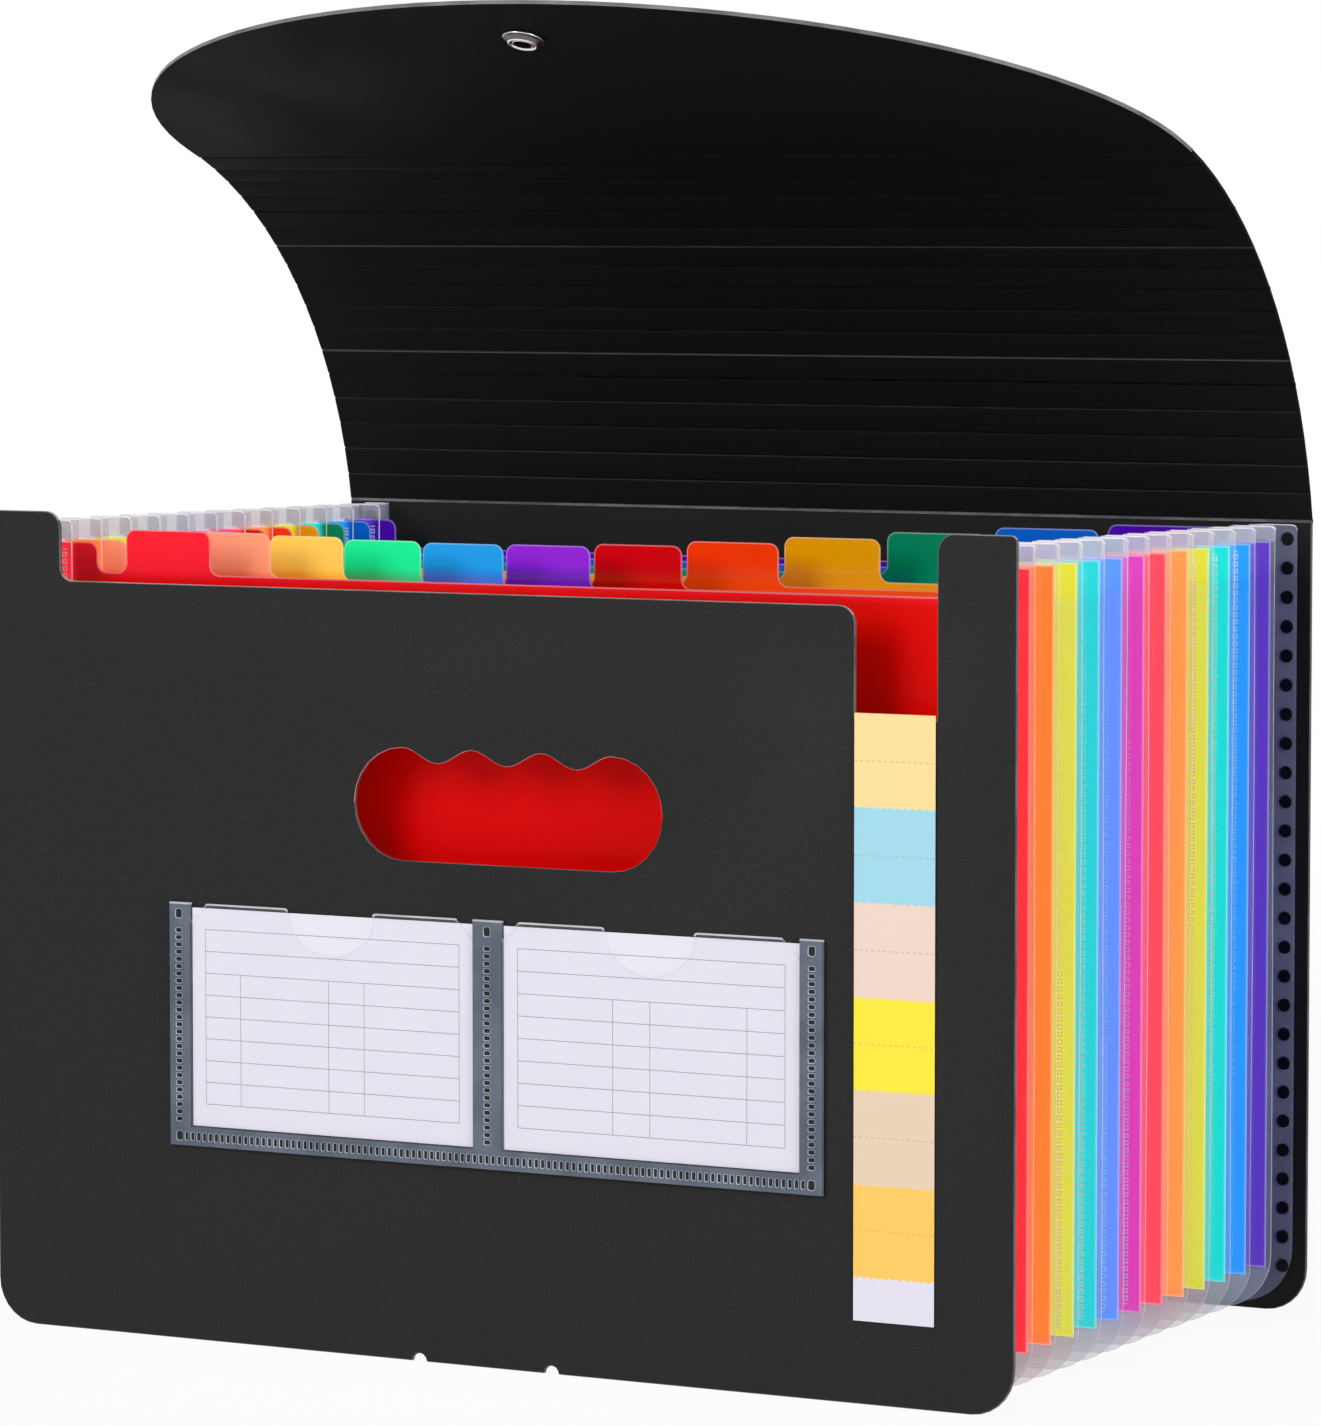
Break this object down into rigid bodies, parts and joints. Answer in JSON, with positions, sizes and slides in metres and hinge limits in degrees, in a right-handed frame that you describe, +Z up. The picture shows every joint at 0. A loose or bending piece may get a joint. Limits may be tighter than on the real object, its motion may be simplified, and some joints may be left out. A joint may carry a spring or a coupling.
{
  "type": "expanding file folder",
  "caption": "Expanding file folder: stiff covers joined by pleated clear film, tabbed coloured dividers between them, a scored closing flap, a card pocket and a hand hole.",
  "frame": {"origin": "middle of the back cover's foot edge, on the floor that the folder stands on", "axes": "+Z up, +X across the folder to the reader's right, +Y from the front cover to the back cover"},
  "size_m": [0.33, 0.2006, 0.3827],
  "materials": {
    "cover": "charcoal plastic sheet with a fine sand grain",
    "flap": "black plastic sheet with a fine sand grain and pale cut edges",
    "divider_red": "translucent red plastic sheet",
    "divider_orange": "translucent orange plastic sheet",
    "divider_yellow": "translucent yellow plastic sheet",
    "divider_teal": "translucent green plastic sheet",
    "divider_blue": "translucent blue plastic sheet",
    "divider_purple": "translucent purple plastic sheet",
    "gusset_film": "frosted clear film",
    "pocket_film": "clear film with welded edges",
    "card_paper": "pale ruled card",
    "label_paper": "matt paper in pale coloured bands",
    "snap_metal": "bright plated metal"
  },
  "bodies": {
    "back": {"back_cover": "cover", "gusset_13": "gusset_film"},
    "front": {"front_cover": "cover", "card_pocket": "pocket_film", "label_sheet": "label_paper"},
    "card_left": {"card_left": "card_paper"},
    "card_right": {"card_right": "card_paper"},
    "divider_01": {"divider_01": "divider_red", "gusset_01": "gusset_film"},
    "divider_02": {"divider_02": "divider_orange", "gusset_02": "gusset_film"},
    "divider_03": {"divider_03": "divider_yellow", "gusset_03": "gusset_film"},
    "divider_04": {"divider_04": "divider_teal", "gusset_04": "gusset_film"},
    "divider_05": {"divider_05": "divider_blue", "gusset_05": "gusset_film"},
    "divider_06": {"divider_06": "divider_purple", "gusset_06": "gusset_film"},
    "divider_07": {"divider_07": "divider_red", "gusset_07": "gusset_film"},
    "divider_08": {"divider_08": "divider_orange", "gusset_08": "gusset_film"},
    "divider_09": {"divider_09": "divider_yellow", "gusset_09": "gusset_film"},
    "divider_10": {"divider_10": "divider_teal", "gusset_10": "gusset_film"},
    "divider_11": {"divider_11": "divider_blue", "gusset_11": "gusset_film"},
    "divider_12": {"divider_12": "divider_purple", "gusset_12": "gusset_film"},
    "flap_panel_1": {"flap_panel_1": "flap"},
    "flap_panel_2": {"flap_panel_2": "flap"},
    "flap_panel_3": {"flap_panel_3": "flap"},
    "flap_panel_4": {"flap_panel_4": "flap"},
    "flap_tongue": {"flap_tongue": "flap", "snap_cap": "snap_metal", "snap_socket": "snap_metal"}
  },
  "joints": [
    {"name": "bellows_slide", "type": "slide", "parent": "back", "child": "front", "axis": [0, 1, 0], "range_m": [0, 0.152], "deforming": ["gusset_01", "gusset_02", "gusset_03", "gusset_04", "gusset_05", "gusset_06", "gusset_07", "gusset_08", "gusset_09", "gusset_10", "gusset_11", "gusset_12", "gusset_13"]},
    {"name": "divider_01_slide", "type": "slide", "parent": "back", "child": "divider_01", "axis": [0, 1, 0], "range_m": [0, 0.1404]},
    {"name": "divider_02_slide", "type": "slide", "parent": "back", "child": "divider_02", "axis": [0, 1, 0], "range_m": [0, 0.1287]},
    {"name": "divider_03_slide", "type": "slide", "parent": "back", "child": "divider_03", "axis": [0, 1, 0], "range_m": [0, 0.117]},
    {"name": "divider_04_slide", "type": "slide", "parent": "back", "child": "divider_04", "axis": [0, 1, 0], "range_m": [0, 0.1053]},
    {"name": "divider_05_slide", "type": "slide", "parent": "back", "child": "divider_05", "axis": [0, 1, 0], "range_m": [0, 0.0936]},
    {"name": "divider_06_slide", "type": "slide", "parent": "back", "child": "divider_06", "axis": [0, 1, 0], "range_m": [0, 0.0819]},
    {"name": "divider_07_slide", "type": "slide", "parent": "back", "child": "divider_07", "axis": [0, 1, 0], "range_m": [0, 0.0702]},
    {"name": "divider_08_slide", "type": "slide", "parent": "back", "child": "divider_08", "axis": [0, 1, 0], "range_m": [0, 0.0585]},
    {"name": "divider_09_slide", "type": "slide", "parent": "back", "child": "divider_09", "axis": [0, 1, 0], "range_m": [0, 0.0468]},
    {"name": "divider_10_slide", "type": "slide", "parent": "back", "child": "divider_10", "axis": [0, 1, 0], "range_m": [0, 0.0351]},
    {"name": "divider_11_slide", "type": "slide", "parent": "back", "child": "divider_11", "axis": [0, 1, 0], "range_m": [0, 0.0234]},
    {"name": "divider_12_slide", "type": "slide", "parent": "back", "child": "divider_12", "axis": [0, 1, 0], "range_m": [0, 0.0117]},
    {"name": "flap_crease", "type": "hinge", "parent": "back", "child": "flap_panel_1", "pos_m": [0, 0, 0.234], "axis": [1, 0, 0], "range_deg": [-40, 50.5]},
    {"name": "flap_fold_1", "type": "hinge", "parent": "flap_panel_1", "child": "flap_panel_2", "pos_m": [0, -0.01335, 0.27419], "axis": [1, 0, 0], "range_deg": [0, 44.1]},
    {"name": "flap_fold_2", "type": "hinge", "parent": "flap_panel_2", "child": "flap_panel_3", "pos_m": [0, -0.03226, 0.30235], "axis": [1, 0, 0], "range_deg": [0, 44.1]},
    {"name": "flap_fold_3", "type": "hinge", "parent": "flap_panel_3", "child": "flap_panel_4", "pos_m": [0, -0.05732, 0.32521], "axis": [1, 0, 0], "range_deg": [-18.8, 14.9]},
    {"name": "flap_fold_4", "type": "hinge", "parent": "flap_panel_4", "child": "flap_tongue", "pos_m": [0, -0.08711, 0.34145], "axis": [1, 0, 0], "range_deg": [-9.9, 7.9]},
    {"name": "card_left_slide", "type": "slide", "parent": "front", "child": "card_left", "axis": [0, 0, 1], "range_m": [0, 0.06]},
    {"name": "card_right_slide", "type": "slide", "parent": "front", "child": "card_right", "axis": [0, 0, 1], "range_m": [0, 0.06]}
  ],
  "couplings": [
    {"joint": "divider_01_slide", "follows": "bellows_slide", "ratio": 0.92308},
    {"joint": "divider_02_slide", "follows": "bellows_slide", "ratio": 0.84615},
    {"joint": "divider_03_slide", "follows": "bellows_slide", "ratio": 0.76923},
    {"joint": "divider_04_slide", "follows": "bellows_slide", "ratio": 0.69231},
    {"joint": "divider_05_slide", "follows": "bellows_slide", "ratio": 0.61538},
    {"joint": "divider_06_slide", "follows": "bellows_slide", "ratio": 0.53846},
    {"joint": "divider_07_slide", "follows": "bellows_slide", "ratio": 0.46154},
    {"joint": "divider_08_slide", "follows": "bellows_slide", "ratio": 0.38461},
    {"joint": "divider_09_slide", "follows": "bellows_slide", "ratio": 0.30769},
    {"joint": "divider_10_slide", "follows": "bellows_slide", "ratio": 0.23077},
    {"joint": "divider_11_slide", "follows": "bellows_slide", "ratio": 0.15385},
    {"joint": "divider_12_slide", "follows": "bellows_slide", "ratio": 0.076923},
    {"joint": "flap_fold_1", "follows": "bellows_slide", "rad_per_m": 5.0522},
    {"joint": "flap_fold_2", "follows": "bellows_slide", "rad_per_m": 5.0522},
    {"joint": "flap_fold_3", "follows": "flap_crease", "ratio": -0.37},
    {"joint": "flap_fold_4", "follows": "flap_crease", "ratio": -0.194}
  ]
}
